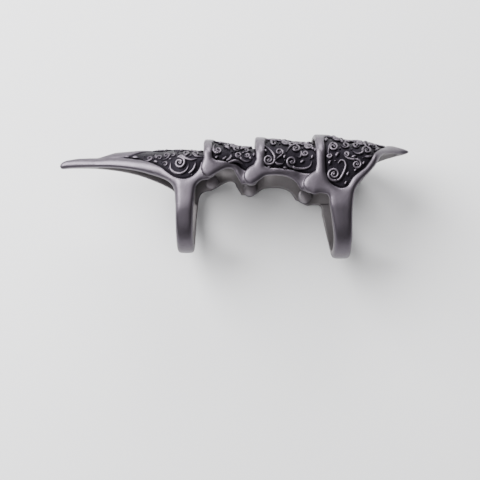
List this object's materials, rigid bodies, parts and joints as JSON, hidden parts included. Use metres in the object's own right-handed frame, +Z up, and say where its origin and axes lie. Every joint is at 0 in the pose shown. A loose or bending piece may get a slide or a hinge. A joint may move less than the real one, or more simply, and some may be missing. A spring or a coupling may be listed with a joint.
{
  "type": "knuckle armor ring",
  "caption": "Full-finger armour ring: hinged cast plates with raised scrollwork, a long claw, a short tail and two finger bands.",
  "frame": {"origin": "middle of the row's length and height, on the surface it lies on", "axes": "+X along the finger from the claw to the tail, +Y to the back of the finger, +Z up from the side it lies on"},
  "size_m": [0.0724, 0.0258, 0.0235],
  "materials": {
    "oxidised_steel": "satin, blackened in the recesses",
    "rivet_steel": "satin, dark"
  },
  "bodies": {
    "base": {"base_plate": "oxidised_steel", "near_rivet_3": "rivet_steel", "far_rivet_3": "rivet_steel"},
    "rear": {"rear_plate": "oxidised_steel", "near_rivet_2": "rivet_steel", "far_rivet_2": "rivet_steel"},
    "front": {"front_plate": "oxidised_steel", "near_rivet_1": "rivet_steel", "far_rivet_1": "rivet_steel"},
    "tip": {"tip_plate": "oxidised_steel"}
  },
  "joints": [
    {"name": "base_hinge", "type": "hinge", "parent": "base", "child": "rear", "pos_m": [0.01505, 0.00128, 0.01175], "axis": [0, 0, 1], "range_deg": [0, 35]},
    {"name": "middle_hinge", "type": "hinge", "parent": "rear", "child": "front", "pos_m": [0.00325, 0.00278, 0.01175], "axis": [0, 0, 1], "range_deg": [0, 35]},
    {"name": "tip_hinge", "type": "hinge", "parent": "front", "child": "tip", "pos_m": [-0.0051, 0.00438, 0.01175], "axis": [0, 0, 1], "range_deg": [0, 35]}
  ]
}
